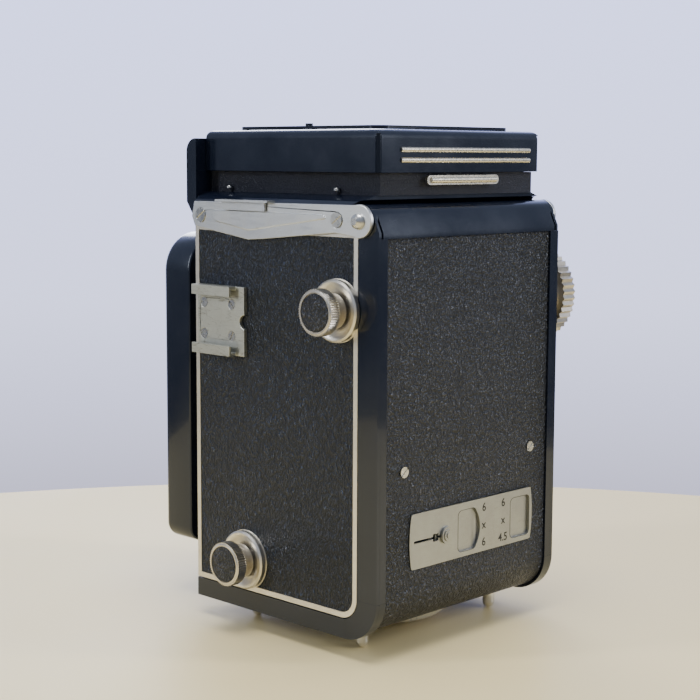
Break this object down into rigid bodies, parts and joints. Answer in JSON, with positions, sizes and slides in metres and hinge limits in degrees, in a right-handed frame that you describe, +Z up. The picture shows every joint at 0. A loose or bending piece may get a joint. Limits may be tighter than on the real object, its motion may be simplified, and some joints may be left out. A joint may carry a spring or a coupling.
{
  "type": "twin lens reflex camera",
  "caption": "Box camera with two lenses, one above the other, on a sliding front panel, a folding finder hood on top, knurled knobs on its sides and a hinged back that stands on short feet.",
  "frame": {"origin": "on the axis of the tripod socket, on the plane that the feet stand on", "axes": "+Z up, +Y towards the hinged back, -Y towards what is pictured, +X towards the side with the accessory shoe"},
  "size_m": [0.099, 0.1125, 0.1507],
  "materials": {
    "black_enamel": "gloss black enamel",
    "cast_body": "matt black paint",
    "leather": "fine pebble grain, black",
    "trim_nickel": "satin, slightly warm",
    "plate_aluminium": "satin",
    "shoe_aluminium": "matt, worn",
    "knob_nickel": "worn nickel, knurled",
    "screw_steel": "polished",
    "champagne_trim": "bright, warm",
    "format_metal": "warm satin",
    "bright_chrome": "bright",
    "black_lens_mount": "black anodised",
    "shaft_steel": "machined",
    "spool_black": "satin black",
    "optical_glass": "coated",
    "ground_glass": "ground",
    "mirror": "front silvered"
  },
  "bodies": {
    "body": {"housing": "cast_body", "side_trims": "trim_nickel", "side_leather": "leather", "strap_plates": "plate_aluminium", "side_screws": "screw_steel", "hinge_rivets": "screw_steel", "strap_lugs": "plate_aluminium", "accessory_shoe": "shoe_aluminium", "knob_collars": "trim_nickel", "top_cover": "black_enamel", "focusing_screen": "ground_glass", "mirror_carrier": "cast_body", "reflex_mirror": "mirror", "hood_base": "leather", "hood_pins": "screw_steel"},
    "catch": {"hood_catch": "champagne_trim"},
    "lid": {"hood_lid": "black_enamel", "lid_panel": "black_enamel", "lid_strips": "champagne_trim", "magnifier_pin": "screw_steel"},
    "left_flap": {"flap_left": "cast_body"},
    "right_flap": {"flap_right": "cast_body"},
    "rear_flap": {"flap_rear": "cast_body"},
    "magnifier": {"magnifier_frame": "cast_body", "magnifier_lens": "optical_glass"},
    "front": {"lens_panel": "black_enamel", "panel_sleeve": "cast_body", "guide_rods": "shaft_steel", "viewing_barrel": "black_lens_mount", "viewing_lens": "optical_glass", "shutter_case": "black_lens_mount", "shutter_blades": "shaft_steel", "taking_lens": "optical_glass", "rear_cell": "black_lens_mount", "rear_lens": "optical_glass", "cable_socket": "bright_chrome"},
    "speed": {"speed_lever": "bright_chrome"},
    "aperture": {"aperture_lever": "bright_chrome"},
    "release": {"shutter_lever": "bright_chrome"},
    "focus_drive": {"focus_knob": "knob_nickel", "focus_shaft": "shaft_steel"},
    "advance_drive": {"advance_knob": "knob_nickel", "advance_shaft": "shaft_steel"},
    "take_up": {"take_up_spool": "spool_black"},
    "feed": {"feed_spool": "spool_black"},
    "roller_high": {"upper_roller": "shaft_steel"},
    "roller_low": {"lower_roller": "shaft_steel"},
    "pin_high": {"spool_pin_upper": "shaft_steel"},
    "pin_low": {"spool_pin_lower": "shaft_steel"},
    "knob_high": {"spool_knob_upper": "knob_nickel"},
    "knob_low": {"spool_knob_lower": "knob_nickel"},
    "door": {"back_door": "black_enamel", "door_leather": "leather", "door_screws": "screw_steel", "format_plate": "format_metal", "feet": "bright_chrome", "tripod_socket": "bright_chrome"},
    "window_slide": {"format_slide": "format_metal"},
    "film_plate": {"pressure_plate": "cast_body"},
    "latch": {"latch_ring": "bright_chrome"}
  },
  "joints": [
    {"name": "door_hinge", "type": "hinge", "parent": "body", "child": "door", "pos_m": [0, 0.0307, 0.1238], "axis": [1, 0, 0], "range_deg": [0, 100]},
    {"name": "latch_turn", "type": "hinge", "parent": "door", "child": "latch", "pos_m": [0, 0, 0.004], "axis": [0, 0, 1], "range_deg": [0, 60]},
    {"name": "window_travel", "type": "slide", "parent": "door", "child": "window_slide", "axis": [1, 0, 0], "range_m": [0, 0.0085]},
    {"name": "film_plate_travel", "type": "slide", "parent": "door", "child": "film_plate", "axis": [0, 1, 0], "range_m": [0, 0.0005], "stiffness_N_per_m": 800},
    {"name": "lid_hinge", "type": "hinge", "parent": "body", "child": "lid", "pos_m": [0, -0.0374, 0.1473], "axis": [1, 0, 0], "range_deg": [0, 90]},
    {"name": "left_flap_hinge", "type": "hinge", "parent": "body", "child": "left_flap", "pos_m": [0.031, 0, 0.1383], "axis": [0, 1, 0], "range_deg": [0, 90]},
    {"name": "right_flap_hinge", "type": "hinge", "parent": "body", "child": "right_flap", "pos_m": [-0.031, 0, 0.1383], "axis": [0, -1, 0], "range_deg": [0, 90]},
    {"name": "rear_flap_hinge", "type": "hinge", "parent": "body", "child": "rear_flap", "pos_m": [0, 0.0296, 0.1406], "axis": [-1, 0, 0], "range_deg": [0, 90]},
    {"name": "magnifier_hinge", "type": "hinge", "parent": "lid", "child": "magnifier", "pos_m": [0, -0.01, 0.1452], "axis": [1, 0, 0], "range_deg": [-90, 0]},
    {"name": "catch_push", "type": "slide", "parent": "body", "child": "catch", "axis": [0, -1, 0], "range_m": [0, 0.001], "stiffness_N_per_m": 500},
    {"name": "focus_travel", "type": "slide", "parent": "body", "child": "front", "axis": [0, -1, 0], "range_m": [0, 0.006]},
    {"name": "focus_turn", "type": "hinge", "parent": "body", "child": "focus_drive", "pos_m": [-0.045, -0.022, 0.046], "axis": [1, 0, 0], "range_deg": [0, 330]},
    {"name": "speed_turn", "type": "hinge", "parent": "front", "child": "speed", "pos_m": [0, -0.0698, 0.053], "axis": [0, -1, 0], "range_deg": [-40, 50]},
    {"name": "aperture_turn", "type": "hinge", "parent": "front", "child": "aperture", "pos_m": [0, -0.0712, 0.053], "axis": [0, -1, 0], "range_deg": [-40, 40]},
    {"name": "release_turn", "type": "hinge", "parent": "front", "child": "release", "pos_m": [-0.012, -0.0673, 0.0305], "axis": [0, -1, 0], "range_deg": [-25, 25], "stiffness_Nm_per_rad": 0.01},
    {"name": "advance_turn", "type": "hinge", "parent": "body", "child": "advance_drive", "pos_m": [0, 0.0217, 0.0988], "axis": [1, 0, 0], "continuous": true},
    {"name": "take_up_turn", "type": "hinge", "parent": "body", "child": "take_up", "pos_m": [0, 0.0217, 0.0988], "axis": [1, 0, 0], "continuous": true},
    {"name": "feed_turn", "type": "hinge", "parent": "body", "child": "feed", "pos_m": [0, -0.0167, 0.0211], "axis": [1, 0, 0], "continuous": true},
    {"name": "upper_roller_turn", "type": "hinge", "parent": "body", "child": "roller_high", "pos_m": [0, 0.0305, 0.0845], "axis": [1, 0, 0], "continuous": true},
    {"name": "lower_roller_turn", "type": "hinge", "parent": "body", "child": "roller_low", "pos_m": [0, 0.0305, 0.0205], "axis": [1, 0, 0], "continuous": true},
    {"name": "upper_pin_pull", "type": "slide", "parent": "body", "child": "pin_high", "axis": [1, 0, 0], "range_m": [0, 0.0055]},
    {"name": "lower_pin_pull", "type": "slide", "parent": "body", "child": "pin_low", "axis": [1, 0, 0], "range_m": [0, 0.0055]},
    {"name": "upper_knob_turn", "type": "hinge", "parent": "pin_high", "child": "knob_high", "pos_m": [0, 0.0217, 0.0988], "axis": [1, 0, 0], "continuous": true},
    {"name": "lower_knob_turn", "type": "hinge", "parent": "pin_low", "child": "knob_low", "pos_m": [0, -0.0167, 0.0211], "axis": [1, 0, 0], "continuous": true}
  ],
  "couplings": [
    {"joint": "left_flap_hinge", "follows": "lid_hinge", "ratio": 1},
    {"joint": "right_flap_hinge", "follows": "lid_hinge", "ratio": 1},
    {"joint": "rear_flap_hinge", "follows": "lid_hinge", "ratio": 1},
    {"joint": "magnifier_hinge", "follows": "lid_hinge", "ratio": -1},
    {"joint": "focus_turn", "follows": "focus_travel", "rad_per_m": 950},
    {"joint": "take_up_turn", "follows": "advance_turn", "ratio": 1}
  ]
}
